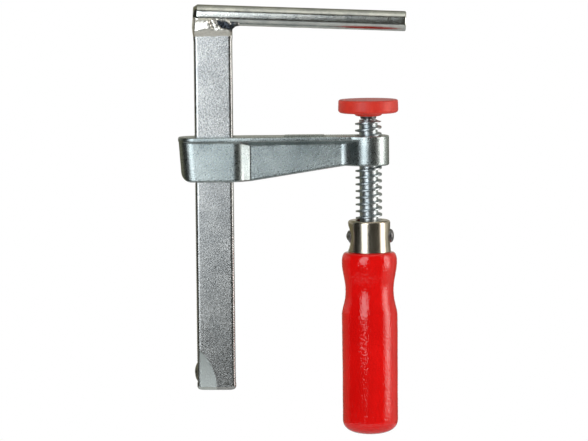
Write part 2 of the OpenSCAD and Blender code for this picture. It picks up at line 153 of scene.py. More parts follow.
def barSection(halfX, halfY, r, stepsX, stepsY, stepsR):
    # a rounded rectangle walked round anticlockwise, and the outward direction at each of its points
    midX, midY = halfX - r, halfY - r  # where the straight sides end
    flatX, flatY = np.linspace(midX, -midX, stepsX), np.linspace(-midY, midY, stepsY)
    wideX, wideY = np.full(stepsY, halfX), np.full(stepsX, halfY)
    corner = np.radians(np.linspace(0, 90, stepsR)[1:-1])
    sides = [(wideX, flatY), (flatX, wideY), (-wideX, -flatY), (-flatX, -wideY)]
    centres = [(midX, midY), (-midX, midY), (-midX, -midY), (midX, -midY)]
    x, y, a = [], [], []
    for k, ((sideX, sideY), (centreX, centreY)) in enumerate(zip(sides, centres)):
        angle = corner + k * fullTurn / 4
        x += [sideX, centreX + r * np.cos(angle)]
        y += [sideY, centreY + r * np.sin(angle)]
        a += [np.full(len(sideX), k * fullTurn / 4), angle]
    a = np.concatenate(a)
    return np.concatenate(x), np.concatenate(y), np.cos(a), np.sin(a)


# small helpers for materials

grainLook = {
    "noiseRoughness": 0.62, "cloudDetail": 2.0,
    "toneSpan": (0.36, 0.64),            # noise at which the darker and the paler tone are reached
    "glossSpan": (0.3, 0.7),             # noise at which the lower and the higher roughness are reached
    "calmRise": 0.0, "calmGloss": 0.7,   # noise that height and roughness read where a mark takes the grain
}


def colour(hexText):
    # an sRGB hex value as linear red, green, blue and alpha
    s = np.array([int(hexText[i:i + 2], 16) for i in (1, 3, 5)]) / 255
    linear = np.where(s <= 0.04045, s / 12.92, ((s + 0.055) / 1.055) ** 2.4)
    return (*[float(c) for c in linear], 1.0)


def addNode(tree, kind, values=None, links=None, **settings):
    # one node with its settings, the values of its sockets and the links into them
    node = tree.nodes.new(kind)
    for key, value in settings.items():
        setattr(node, key, value)
    for key, value in (values or {}).items():
        node.inputs[key].default_value = value
    for key, source in (links or {}).items():
        tree.links.new(source, node.inputs[key])
    return node


def makeFinish(name, tones, grain, rough, height, cloud=8.0, cloudShare=0.5, detail=3.0, stretch=(1, 1, 1),
               mark=None, **values):
    # a finish with a fine grain and broad clouds, sizes in millimetres: both steer the colour between the
    # two tones, the grain steers roughness and stands up by height, and mark names an attribute of the
    # mesh with the tone that it brings and the share of the grain that it takes away
    p = grainLook
    material = bpy.data.materials.new(name)
    material.use_nodes = True
    tree = material.node_tree
    shader = tree.nodes["Principled BSDF"]
    for key, value in values.items():
        shader.inputs[key.replace("_", " ")].default_value = value
    place = addNode(tree, "ShaderNodeTexCoord").outputs["Object"]
    along = addNode(tree, "ShaderNodeMapping", {"Scale": stretch}, {"Vector": place}).outputs["Vector"]
    fine = addNode(tree, "ShaderNodeTexNoise", {"Scale": 1 / (grain * mm), "Detail": detail,
                                                "Roughness": p["noiseRoughness"]}, {"Vector": along})
    fine = fine.outputs["Fac"]
    broad = addNode(tree, "ShaderNodeTexNoise", {"Scale": 1 / (cloud * mm), "Detail": p["cloudDetail"]},
                    {"Vector": along}).outputs["Fac"]
    both = addNode(tree, "ShaderNodeMix", {"Factor": cloudShare}, {"A": fine, "B": broad}).outputs["Result"]
    ramp = addNode(tree, "ShaderNodeValToRGB", links={"Fac": both})
    for stop, position, tone in zip(ramp.color_ramp.elements, p["toneSpan"], tones):
        stop.position = position
        stop.color = colour(tone)
    tint, rise, gloss = ramp.outputs["Color"], fine, fine
    if mark:
        attribute, markTone, calm = mark
        amount = addNode(tree, "ShaderNodeAttribute", attribute_name=attribute).outputs["Fac"]
        tint = addNode(tree, "ShaderNodeMixRGB", {"Color2": colour(markTone)},
                       {"Fac": amount, "Color1": tint}).outputs["Color"]
        taken = addNode(tree, "ShaderNodeMapRange", {"To Max": calm}, {"Value": amount}).outputs["Result"]
        calmed = [addNode(tree, "ShaderNodeMix", {"B": level}, {"Factor": taken, "A": fine})
                  for level in (p["calmRise"], p["calmGloss"])]
        rise, gloss = [node.outputs["Result"] for node in calmed]
    lowNoise, highNoise = p["glossSpan"]
    span = addNode(tree, "ShaderNodeMapRange", {"From Min": lowNoise, "From Max": highNoise,
                                                "To Min": rough[0], "To Max": rough[1]}, {"Value": gloss})
    bump = addNode(tree, "ShaderNodeBump", {"Distance": height * mm}, {"Height": rise}).outputs["Normal"]
    tree.links.new(tint, shader.inputs["Base Color"])
    tree.links.new(span.outputs["Result"], shader.inputs["Roughness"])
    tree.links.new(bump, shader.inputs["Normal"])
    tree.links.new(bump, shader.inputs["Coat Normal"])
    return material


# materials

# zinc-plated drawn steel: a pale satin grey that sparkles where the pickled grain catches the lamps
# the real grain is about 0.2 mm, drawn at 0.36 mm so that it shows
railFinish = makeFinish("zinc plated drawn steel", ("#92979a", "#d2d5d5"), 0.36, (0.2, 0.3), 0.036, 9, 0.25,
                        mark=("pressed", "#d3dcdb", 0.95), Metallic=1.0)
# zinc-plated bright drawn round bar: nearly a mirror, broken up by the fine grain of the pickled steel
barFinish = makeFinish("zinc plated bright bar", ("#b0b7b8", "#e2e6e2"), 0.45, (0.13, 0.21), 0.05, 6,
                       Metallic=1.0)
# zinc-plated malleable casting, blasted before plating: blue-grey with a fine pebble grain
# the grain is about 0.3 mm, drawn at 0.5 mm so that it shows
castFinish = makeFinish("zinc plated casting", ("#8d999c", "#bcc7c8"), 0.5, (0.24, 0.33), 0.085, 12,
                        Metallic=1.0)
# rolled thread under blue passivated zinc: bright and slightly blue, polished where the nut rubs
threadFinish = makeFinish("zinc plated rolled thread", ("#9aa5aa", "#ccd5d8"), 0.7, (0.32, 0.42), 0.03, 5,
                          Metallic=1.0)
# arc weld under zinc plating: bright where it ran smooth, nearly black in the crater and where slag stayed,
# with painted shade in its inner corners
weldFinish = makeFinish("zinc plated weld", ("#d8d8d0", "#f4f4ee"), 0.8, (0.3, 0.4), 0.03, 3,
                        mark=("burnt", "#343940", 0.0), Metallic=1.0)
# nickel-plated drawn cup: a warm mirror with faint draw lines up and down
cupFinish = makeFinish("nickel plated drawn cup", ("#b3ac9d", "#d2ccbf"), 0.9, (0.19, 0.26), 0.006, 7,
                       stretch=(1, 1, 0.06), Metallic=1.0)
# plain oiled steel: dark grey and dull
steelFinish = makeFinish("plain oiled steel", ("#66676a", "#98999b"), 1.2, (0.28, 0.42), 0.03, 4,
                         Metallic=1.0)
# moulded soft PVC: an orange-red with a dull bloom and fine matt grain
# the mould's grain is about 0.1 mm, drawn at 0.5 mm so that it shows
capFinish = makeFinish("moulded soft PVC", ("#d42511", "#e2331d"), 0.5, (0.42, 0.52), 0.012, 5, 0.8,
                       Sheen_Weight=0.16)
# turned beech under thick dipped lacquer: a full red with a hard gloss, whose skin is pitted like orange
# peel, so that the lamps' streaks break up into sparks
handleFinish = makeFinish("red lacquered beech", ("#e20c0a", "#ec100e"), 0.95, (0.4, 0.5), 0.125, 14, 0.9,
                          1.0, Specular_IOR_Level=0.0, Coat_Weight=1.0, Coat_IOR=1.55, Coat_Roughness=0.03)
print("materials made")


# rail

rail = {
    "round": 1.6,                                           # rounding of the long edges
    "toothPitch": 1.1, "toothDepth": 0.3, "bare": 3.0, "teethTop": -8.0, "teethFade": 0.5,
    "stopUp": 8.0, "stopLength": 7.6, "stopHeight": 1.1, "stopWidth": 4.0, "stopUneven": 0.06,
    "endBevel": 1.5, "bevelDeep": 1.2, "cornerRound": 1.7,  # the cut lower end
    "facetUp": 19.0, "facetIn": 9.0, "facetTilt": 4.0,      # flats pressed beside the stop, tilt in degrees
    "creaseFade": 0.3,
    "row": 0.275, "bevelRows": 8, "steps": (40, 7, 7),      # steps along the faces, edges and corners
}
railLow, railHigh = nodeBox("rail")
railOuter, railInner = railLow[0] + rail["stopHeight"], railHigh[0]
railMid, railHalfX, railHalfY = (railOuter + railInner) / 2, (railInner - railOuter) / 2, railHigh[1]
railEnd, railTop = railLow[2], railHigh[2]


def makeRail():
    # the rounded section carried up the z axis: at height z the narrow edges step in by a tooth wave, the
    # outer edge swells at the stop, and the flats beside the stop sink in beyond a curved crease
    p = rail
    x, y, _, ny = (v[None] for v in barSection(railHalfX, railHalfY, p["round"], *p["steps"]))
    up = np.concatenate([[0], np.linspace(0, p["endBevel"], p["bevelRows"]),
                         np.arange(p["endBevel"], railTop - railEnd, p["row"])[1:]])
    up = np.append(up, [railTop - railEnd] * 2)[:, None]
    bevel = p["bevelDeep"] * np.clip(1 - up / p["endBevel"], 0, 1)
    r = p["cornerRound"]
    corner = r - np.sqrt(r * r - np.clip(r - up, 0, r) ** 2)
    across = np.clip((np.abs(x) - (railHalfX - p["round"])) / p["round"], 0, 1)
    fade = p["teethFade"]
    inTeeth = smoothStep(p["bare"], p["bare"] + fade, up)
    inTeeth = inTeeth * (1 - smoothStep(-fade, fade, up + railEnd - p["teethTop"]))
    wave = 1 - np.abs((up / p["toothPitch"]) % 1 * 2 - 1)  # a zigzag from 0 to 1
    tooth = p["toothDepth"] * wave * inTeeth * across
    onStop = np.clip(1 - ((up - p["stopUp"]) / (p["stopLength"] / 2)) ** 2, 0, 1) ** 0.7
    overStop = np.clip(1 - (y / (p["stopWidth"] / 2)) ** 4, 0, 1) * (x < 1 - railHalfX)
    tooth = tooth * (1 - (onStop > 0) * (x < 0))
    uneven = p["stopUneven"]
    swell = (p["stopHeight"] - uneven + uneven * wobble(up * 1.3, y * 1.1)) * onStop * overStop
    crease = p["facetIn"] * np.clip(1 - (up / p["facetUp"]) ** 2, 0, 1) ** 0.8 - (x + railHalfX)
    sink = math.tan(math.radians(p["facetTilt"])) * np.maximum(crease, 0)
    px = (x - np.sign(x) * tooth) * (1 - corner / railHalfX) - swell
    py = y * (1 - (bevel + sink) / railHalfY)
    shut = np.ones_like(up)
    shut[[0, -1]] = 0
    points = np.stack([railMid + px * shut, py * shut, railEnd + up + 0 * px], -1)
    pressed = smoothStep(0, p["creaseFade"], crease) * smoothStep(0.5, 0.9, np.abs(ny)) + 0 * px
    makePiece("serrated_rail", points, gridQuads(len(up), x.size), "frame", railFinish, "rail",
              marks={"pressed": pressed})


# round arm

roundArm = {
    "radius": 4.5, "toeIn": 2.4,                            # lean towards the pad, in degrees
    "tipBevel": 0.35,
    "heelBevelLong": 1.8, "heelBevelDeep": 1.2,             # the sawn end over the rail is ground off more
    "edge": 0.15,                                           # the bevels' edges are broken by this much
    "sides": 96, "spacing": 1.5,
}
armLow, armHigh = nodeBox("fixed_arm")
armSin, armCos = math.sin(math.radians(roundArm["toeIn"])), math.cos(math.radians(roundArm["toeIn"]))
armTail = (armLow[0] + (roundArm["radius"] - roundArm["heelBevelDeep"]) * armSin) / armCos
armTip = (armHigh[0] - (roundArm["radius"] - roundArm["tipBevel"]) * armSin) / armCos


def makeRoundArm():
    # a straight bar with bevelled ends, turned about z and then laid along its own leaning axis
    p = roundArm
    r, b, e = p["radius"], p["tipBevel"], p["edge"]
    deep, long = p["heelBevelDeep"], p["heelBevelLong"]
    profile = np.concatenate([
        [[0, armTail], [r - deep - e, armTail], [r - deep - 0.3 * e, armTail + 0.3 * e]],
        [[r - 0.7 * e, armTail + long - e], [r - 0.15 * e, armTail + long], [r, armTail + long + e]],
        [[r, armTip - b - e], [r - 0.3 * e, armTip - b]],
        arcPoints(r - b - e, armTip - e, e, 45, 90, 4),
        [[0, armTip]]])
    points, quads = turned(alongProfile(profile, p["spacing"]), p["sides"])
    along = points[..., 2]
    px = along * armCos + points[..., 0] * armSin
    pz = -along * armSin + points[..., 0] * armCos
    points = np.stack([px, -points[..., 1], pz], -1)
    makePiece("round_arm", points, quads[:, ::-1], "frame", barFinish, "fixed_arm")


# weld

weld = {
    "low": -6.7, "high": 2.2,                               # heights of its toes on the rail and on the arm
    # share of the height from the lower toe, and how far the bead stands out of the rail's faces there
    "faceShare": [0, 0.08, 0.36, 0.46, 0.7, 0.88, 1],
    "faceOut": [-0.15, 0.3, 1.8, 1.85, 1.5, 0.8, 0.1],
    "edgeOut": 0.5,                                         # out of the rail's outer edge
    "filletLow": -4.3, "filletTall": 2.3, "filletLong": 3.6,  # the hollow at the inner edge
    "cornerCut": 0.85,                                      # share that it loses at the inner corners
    "sunk": 0.1, "skin": 1.2,                               # depth of its toes and its inner skin in the rail
    "waves": 0.2, "ripples": 0.09,                          # unevenness, in patches of 5 mm and of 2 mm
    "ridge": (0.3, 0.46, 0.85),                             # shares of the height: starts, is full, fades
    "ramp": (-77.4, -71.2, 1.1),                            # the bead grows between these x by this much
    "rampFall": (0.7, 3.5),                                 # and loses this share again over this length
    "calm": 0.3,                                            # share of the unevenness where it was started
    "crater": (-63.4, -1.5, 4.5, 2.1, 0.8),                 # x, z, half width, half height, how deep
    "craterSlant": 0.3, "craterRagged": 0.14,
    "fleckTone": 0.6, "fleckStart": (-72.5, -70.5),         # dark flecks come in between these x
    "rows": 44, "steps": (60, 12, 9),                       # steps along the faces, edges and corners
}


def makeWeld():
    # a bead carried round the rail's outline under the round arm: out of the wide faces it stands as a
    # convex bead with a flat underside, and at the inner edge it is a hollow quarter circle
    p = weld
    x, y, nx, ny = (v[None] for v in barSection(railHalfX, railHalfY, rail["round"], *p["steps"]))
    t = np.linspace(0, 1, p["rows"])[:, None]
    run = np.cumsum(np.hypot(np.diff(x, prepend=x[:, :1]), np.diff(y, prepend=y[:, :1])))[None]
    z = p["low"] + (p["high"] - p["low"]) * t + p["waves"] * wobble(run * 0.6, 0 * run) * (1 - t)
    face = smoothThrough(p["faceShare"], p["faceOut"], t)
    edge = p["edgeOut"] * np.sin(math.pi * t) ** 0.8 - p["sunk"]
    rise = np.clip((z - p["filletLow"]) / p["filletTall"], 0, 1)
    hollow = p["filletLong"] * (1 - np.sqrt(1 - rise ** 2)) - p["sunk"]
    inner, outer = smoothStep(0.35, 0.95, nx), smoothStep(0.35, 0.95, -nx)
    corner = smoothStep(0.1, 0.5, nx) * (1 - smoothStep(0.8, 1, nx)) * smoothStep(0.45, 0.7, t)
    out = (face * (1 - inner - outer) + hollow * inner + edge * outer) * (1 - p["cornerCut"] * corner)
    # uneven along its ridge, but smooth where it was started
    atX = railMid + x
    ridgeStart, ridgeFull, ridgeFade = p["ridge"]
    rampStart, rampEnd, rampOut = p["ramp"]
    onRidge = smoothStep(ridgeStart, ridgeFull, t)
    ridge = onRidge * (1 - smoothStep(ridgeFade, 1, t))
    uneven = ridge * (p["calm"] + (1 - p["calm"]) * smoothStep(rampEnd - 1.5, rampEnd + 1, atX))
    waves, ripples = wobble(run, z, 0.4), wobble(run * 2.4, z * 2.2, 1.9)
    out = out + uneven * (p["waves"] * waves + p["ripples"] * ripples)
    # on the faces it grows into a lump and ends in a crater, a slanted bell with a ragged edge
    onFace = smoothStep(0.3, 0.8, np.abs(ny))
    fallShare, fallLong = p["rampFall"]
    grown = np.clip((atX - rampStart) / (rampEnd - rampStart), 0, 1)
    grown = grown - fallShare * smoothStep(0, fallLong, atX - rampEnd)
    lump = rampOut * (grown - 0.5) * ridge
    pitX, pitZ, pitWide, pitTall, pitDeep = p["crater"]
    slant = p["craterSlant"] * (atX - pitX)
    pit = np.exp(-((atX - pitX) / pitWide) ** 2 - ((z - pitZ + slant) / pitTall) ** 2)
    pit = pit + p["craterRagged"] * wobble(atX * 2.1, z * 2.3)
    pit = smoothStep(0.3, 0.66, pit) * (1 - outer)
    out = out + onFace * (lump - pitDeep * pit * onRidge)
    # burnt in the crater and in flecks, and painted shade darkening the inner corners
    flecks = smoothStep(0.2, 0.7, wobble(atX * 2.6, z * 3.1, 1.3)) * smoothStep(0.4, 0.5, t)
    flecks = p["fleckTone"] * flecks * smoothStep(*p["fleckStart"], atX)
    # painted shade: dark in the inner corners, less so where the bead stands far out
    inCorner = smoothStep(0.1, 0.4, nx) * smoothStep(-5, -4, z)
    inCorner = inCorner * (1 - 0.3 * smoothStep(0.8, 2.2, nx * out))
    burnt = np.maximum(np.maximum(pit, inCorner), flecks)
    inside = np.full((1, x.size), -p["skin"])
    out = np.concatenate([inside, out, inside])
    z = np.concatenate([z[:1] + 0.5, z, z[-1:]])
    burnt = np.concatenate([burnt[:1], burnt, burnt[-1:]])
    points = np.stack([railMid + x + nx * out, y + ny * out, z], -1)
    rows, columns = points.shape[:2]
    quads = gridQuads(rows + 1, columns) % (rows * columns)
    makePiece("weld", points, quads, "frame", weldFinish, "weld_bead", 60, {"burnt": burnt})


# sliding arm

slider = {
    "housingHalf": 7.8, "webHalf": 3.2,                     # half thickness of housing and web
    "toeStart": -60.2, "toeRound": 6.8, "toeAngle": 45.0, "webRound": 0.8,
    "heelRound": 6.6, "heelSlope": 0.07, "lowerHeelRound": 4.6, "edgeRound": 0.8,
    "slopeStart": -52.8, "slopeEnd": -10.5, "bossHeight": 13.3, "bossFillet": 3.7,
    "rimHalf": 8.5, "rimEndHalf": 7.0, "rimHeight": 1.85, "rimRound": 0.5, "rimEdge": 0.25,
    "rimBossFillet": 1.5, "rimBossStart": -3.0,             # the fillet runs up to this x on the boss
    "underHousing": 0.6, "underWeb": 0.38,                  # slope of the rim's underside
    "panelStart": -37.5, "panelEnd": -19.5, "panelHalf": 4.0, "panelHeight": 0.45,
    "panelRound": 1.0, "panelEdge": 0.35, "panelFillet": 0.4,
    "slotGap": 0.3, "slotRound": 0.6, "slotEdge": 0.4, "bore": 6.1, "boreEdge": 0.6,
    "inset": 0.04,                                          # keeps the sampled heel inside the CAD piece
    "grid": 0.36, "margin": 1.4,                            # the sampling grid's spacing and overhang
    "settle": 4, "probe": 0.02, "pull": 0.9, "leastSlope": 0.2,  # how its points settle on the surface
}
sliderLow, sliderHigh = nodeBox("sliding_arm")
sliderHeel = sliderLow[0] + slider["inset"]
sliderTop = sliderHigh[2] - slider["panelHeight"]
bossRadius = sliderHigh[1]


def meet(a, b, r):
    # distance to what lies within two bounds at once, with the edge between them rounded by r
    a, b = a + r, b + r
    return np.minimum(np.maximum(a, b), 0) + np.hypot(np.maximum(a, 0), np.maximum(b, 0)) - r


def join(a, b, r):
    # distance to two bodies as one, with a hollow fillet of radius r between them
    return -meet(-a, -b, r)


def sideDistance(x, ay):
    # distance to the casting's side walls in plan: level along the housing, round its toe, down a slanted
    # flank, round a small hollow and level along the web
    p = slider
    a = math.radians(p["toeAngle"])
    flankX = p["toeStart"] + p["toeRound"] * math.sin(a)
    flankHalf = p["housingHalf"] - p["toeRound"] * (1 - math.cos(a))
    hollowHalf = p["webHalf"] + p["webRound"] * (1 - math.cos(a))
    hollowX = flankX + (flankHalf - hollowHalf) / math.tan(a)
    webX = hollowX + p["webRound"] * math.sin(a)
    convex = np.clip((x - p["toeStart"]) / p["toeRound"], 0, math.sin(a))  # sine of the wall's turn there
    hollow = np.clip((webX - x) / p["webRound"], 0, math.sin(a))
    half = np.where(x < flankX, p["housingHalf"] - p["toeRound"] * (1 - np.sqrt(1 - convex ** 2)),
                    np.where(x < hollowX, flankHalf - (x - flankX) * math.tan(a),
                             p["webHalf"] + p["webRound"] * (1 - np.sqrt(1 - hollow ** 2))))
    return (ay - half) * np.sqrt(1 - np.minimum(convex, hollow) ** 2)


def sliderDistance(points):
    # signed distance to the casting: plan and front outline bound the body, the rim and panel are
    # added with fillets, the rail's slot and the spindle's bore are taken away
    p = slider
    x, y, z = points[..., 0], points[..., 1], points[..., 2]
    ay = np.abs(y)
    heelX = sliderHeel + p["heelSlope"] * np.maximum(0, sliderTop - p["rimHeight"] - z)  # moulding slope
    heel = meet(heelX - x, ay - p["housingHalf"], p["heelRound"])
    side = np.where(x < railMid, heel, np.maximum(sideDistance(x, ay), x))
    boss = np.hypot(x, y) - bossRadius
    plan = join(side, boss, p["bossFillet"])
    # underside: level under the housing, rising along the web, level under the boss
    bossLow = sliderTop - p["bossHeight"]
    slope = (bossLow - sliderLow[2]) / (p["slopeEnd"] - p["slopeStart"])
    rise = sliderLow[2] + slope * np.clip(x - p["slopeStart"], 0, p["slopeEnd"] - p["slopeStart"])
    under = (rise - z) / math.hypot(1, slope)
    lowerHeel = meet(heelX - x, sliderLow[2] - z, p["lowerHeelRound"])
    under = np.where(x < railMid, np.maximum(under, lowerHeel), under)
    body = meet(plan, np.maximum(under, z - sliderTop), p["edgeRound"])
    # the rim narrows along the web, is rounded above, and its underside slants in to the walls
    narrow = np.clip((x - p["slopeStart"]) / -p["slopeStart"], 0, 1)
    rimHalf = p["rimHalf"] + (p["rimEndHalf"] - p["rimHalf"]) * narrow
    rimPlan = meet(sliderHeel - x, ay - rimHalf, p["heelRound"] + p["rimHalf"] - p["housingHalf"])
    rimPlan = np.maximum(rimPlan, x)
    filleted = join(rimPlan, boss, p["rimBossFillet"])
    rimPlan = np.where(x < p["rimBossStart"], filleted, np.minimum(rimPlan, boss))
    onWeb = smoothStep(p["toeStart"], p["slopeStart"], x)
    fall = p["underHousing"] + (p["underWeb"] - p["underHousing"]) * onWeb
    below = (sliderTop - p["rimHeight"] + fall * np.minimum(rimPlan, 0) - z) / np.hypot(1, fall)
    rim = meet(meet(rimPlan, z - sliderTop, p["rimRound"]), below, p["rimEdge"])
    shape = np.minimum(body, rim)
    panelMid, panelLong = (p["panelStart"] + p["panelEnd"]) / 2, (p["panelEnd"] - p["panelStart"]) / 2
    panel = meet(np.abs(x - panelMid) - panelLong, ay - p["panelHalf"], p["panelRound"])
    panel = meet(panel, np.abs(z - sliderTop) - p["panelHeight"], p["panelEdge"])
    shape = join(shape, panel, p["panelFillet"])
    gap = p["slotGap"]
    slot = meet(np.abs(x - railMid) - railHalfX - gap, ay - railHalfY - gap, p["slotRound"])
    bore = np.hypot(x, y) - p["bore"]
    return meet(meet(shape, -slot, p["slotEdge"]), -bore, p["boreEdge"])


def netSurface(distance, low, high, step):
    # surface net: one point in each grid cell that the surface crosses, one quad for each grid edge
    # that it crosses, and then each point slid down the gradient onto the surface
    axes = [np.arange(a, b + step, step) for a, b in zip(low, high)]
    value = distance(np.stack(np.meshgrid(*axes, indexing="ij"), -1))
    shape = np.array(value.shape)
    total, count = np.zeros((*shape, 3)), np.zeros(shape)
    corners = []
    for axis in range(3):
        other = [(axis + 1) % 3, (axis + 2) % 3]
        first = np.moveaxis(value, axis, 0)[:-1]
        second = np.moveaxis(value, axis, 0)[1:]
        index = np.argwhere((first < 0) != (second < 0))
        a, b = first[tuple(index.T)], second[tuple(index.T)]
        index = np.insert(np.delete(index, 0, 1), axis, index[:, 0], 1)
        place = np.array(low) + index * step
        place[:, axis] += step * a / (a - b)
        around = []
        for back in ((0, 0), (1, 0), (1, 1), (0, 1)):
            cell = index.copy()
            cell[:, other] -= back
            np.add.at(total, tuple(cell.T), place)
            np.add.at(count, tuple(cell.T), 1)
            around.append(np.ravel_multi_index(tuple(cell.T), shape))
        around = np.stack(around, 1)
        corners.append(np.where((a < 0)[:, None], around, around[:, ::-1]))
    used = np.flatnonzero(count)
    points = total.reshape(-1, 3)[used] / count.reshape(-1)[used][:, None]
    number = np.zeros(count.size, int)
    number[used] = np.arange(len(used))
    probe = slider["probe"]
    for _ in range(slider["settle"]):
        d = distance(points)
        change = [distance(points + e) - distance(points - e) for e in probe * np.eye(3)]
        slope = np.stack(change, -1) / (2 * probe)
        steepness = np.maximum((slope ** 2).sum(-1), slider["leastSlope"])
        points -= slope * (d / steepness)[:, None] * slider["pull"]
    return points, number[np.concatenate(corners)]


def makeSlider():
    # the casting's distance sampled on a grid, and the surface where it is zero
    low, high = sliderLow - slider["margin"], sliderHigh + slider["margin"]
    points, quads = netSurface(sliderDistance, low, high, slider["grid"])
    makePiece("sliding_arm_casting", points, quads, "slider", castFinish, "sliding_arm", 50)


# spindle

spindle = {
    "ball": 2.8, "neck": 1.9, "neckLength": 2.9, "shoulder": 0.7, "tail": 3.7,
    "core": 4.1, "pitch": 3.0,
    "lead": 2.19,                                           # turns by which the ridge starts below the thread
    "footWidth": 1.35, "crestWidth": 0.75, "edge": 0.3,
    "topCone": 4.0, "lowCone": 1.8, "lowDrop": 0.2,         # slopes that cut the thread down at its ends
    "sides": 96, "row": 0.1,
}
spindleLow, spindleHigh = nodeBox("spindle")
ferruleLow, ferruleHigh = nodeBox("ferrule")
ballZ = spindleHigh[2] - spindle["ball"]
threadTop = ballZ - spindle["neckLength"] - spindle["shoulder"]
threadLow = ferruleHigh[2] - spindle["pitch"]


def makeSpindle():
    # radius as a function of angle and height: core plus a ridge whose middle climbs one pitch a turn,
    # cut down by a cone at each end of the thread
    p = spindle
    crest, tailEnd = spindleHigh[0], spindleLow[2]
    ballEnd = math.acos(p["neck"] / p["ball"])
    ball = arcPoints(0, ballZ, p["ball"], 90, -math.degrees(ballEnd), 22)
    top, e = threadTop + p["shoulder"], p["edge"]
    upper = np.concatenate([ball, [[p["neck"], top]], arcPoints(p["core"] - e, top - e, e, 90, 0, 5)])
    z = np.append(np.arange(top - e, threadLow, -p["row"])[1:], threadLow)[:, None]
    a = np.arange(p["sides"])[None] * fullTurn / p["sides"]
    turn = (z - threadLow) / p["pitch"] + p["lead"] - a / fullTurn
    off = np.abs((turn + 0.5) % 1 - 0.5) * p["pitch"]  # height above or below the ridge's middle
    flank = np.clip((p["footWidth"] / 2 - off) / ((p["footWidth"] - p["crestWidth"]) / 2), 0, 1)
    topCone = p["topCone"] * (top - e - z)
    lowCone = p["lowCone"] * (z - threadLow) - p["lowDrop"]
    r = np.minimum(p["core"] + (crest - p["core"]) * flank, np.minimum(topCone, lowCone) + p["core"])
    head, _ = turned(upper, p["sides"])
    thread = np.stack([r * np.cos(a), r * np.sin(a), z + 0 * a], -1)
    tail, _ = turned([[p["tail"], threadLow], [p["tail"], tailEnd], [0, tailEnd]], p["sides"])
    points = np.concatenate([head, thread, tail])[::-1]
    makePiece("threaded_spindle", points, gridQuads(len(points), p["sides"]), "screw", threadFinish,
              "spindle", 30)


# swivel pad

pad = {
    "height": 5.9, "topRound": 0.8, "lowRound": 1.5, "taper": 0.12,
    "collar": 6.3, "collarFoot": 4.5,                       # radii of the bowl under the cap
    "roof": 2.2, "wall": 1.5, "plate": 2.3, "gap": 0.05, "ease": 0.1,
    "hub": 5.0, "lip": 3.5, "mouth": 2.2, "socket": 2.95,   # radii of the plate's hub
    "plateEdge": 0.3, "lipEdge": 0.2,                       # bevels of the plate
    "capSides": 128, "plateSides": 96, "spacing": 1.2,
}
capLow, capHigh = nodeBox("protective_cap")
plateLow, plateHigh = nodeBox("pressure_plate")


def makePad():
    # the soft cap is one turned skin: over the face, round the rim, under the plate, down a bowl-shaped
    # collar and back up inside
    p = pad
    r, face, foot = capHigh[1], capHigh[2], capLow[2]
    low = face - p["height"]
    bowlTop = low - p["ease"]
    plateTop = face - p["roof"]
    plateFoot = plateTop - p["plate"] - p["gap"]
    inside = r - p["wall"]
    bowl = np.radians(np.linspace(0, 90, 9))
    profile = np.concatenate([
        [[0, face]],
        arcPoints(r - p["taper"] - p["topRound"], face - p["topRound"], p["topRound"], 90, 4, 10),
        arcPoints(r - p["lowRound"], low + p["lowRound"], p["lowRound"], 0, -90, 10),
        np.stack([p["collarFoot"] + (p["collar"] - p["collarFoot"]) * np.cos(bowl),
                  bowlTop - (bowlTop - foot) * np.sin(bowl)], -1),
        [[p["collarFoot"] - 0.3, foot + 0.1], [p["hub"] - 0.6, foot + 0.7], [p["hub"], plateFoot - 0.9]],
        [[p["hub"], plateFoot], [inside, plateFoot], [inside, plateTop], [0, plateTop]]])
    points, quads = turned(alongProfile(profile, p["spacing"])[::-1], p["capSides"])
    makePiece("soft_cap", points, quads, "pad", capFinish, "protective_cap")
    # the steel plate inside it: a disc with a hub that closes round the ball and shows as a dark lip
    socket = arcPoints(0, ballZ, p["socket"], 90, -math.degrees(math.acos(p["mouth"] / p["socket"])), 16)
    edge, top, under, lipLow = plateHigh[0], plateHigh[2], plateHigh[2] - p["plate"], plateLow[2]
    b, c, hub = p["plateEdge"], p["lipEdge"], p["hub"] - p["ease"]
    outside = [[p["mouth"], lipLow], [p["lip"] - c, lipLow], [p["lip"], lipLow + c],
               [p["lip"] + 0.15, foot + 0.2], [p["hub"] - 0.7, foot + 0.8], [hub, plateFoot - 0.8],
               [hub, under], [edge - b, under], [edge, under + b], [edge, top - b], [edge - b, top], [0, top]]
    points, quads = turned(np.concatenate([socket, outside]), p["plateSides"])
    makePiece("pad_plate", points, quads, "pad", steelFinish, "pressure_plate")


# ferrule, cross pin and handle

ferrule = {
    "topRadius": 9.5, "wall": 0.8, "round": 1.25, "hole": 6.1, "holeEdge": 0.15,
    "rimUp": 0.25, "rimIn": 0.2,                            # bevel of the lower rim
    "dent": 1.1, "dentWide": 5.0, "dentTall": 5.2,          # flat that the riveting left at the -x side
    "dentDrop": 1.0, "dentFrom": (7.5, 8.5),                # radii between which it comes in
    "press": 0.25,                                          # and a slight one at the +x side
    "sides": 144, "spacing": 0.45,
}
pinLow, pinHigh = nodeBox("cross_pin")
pinZ = (pinLow[2] + pinHigh[2]) / 2


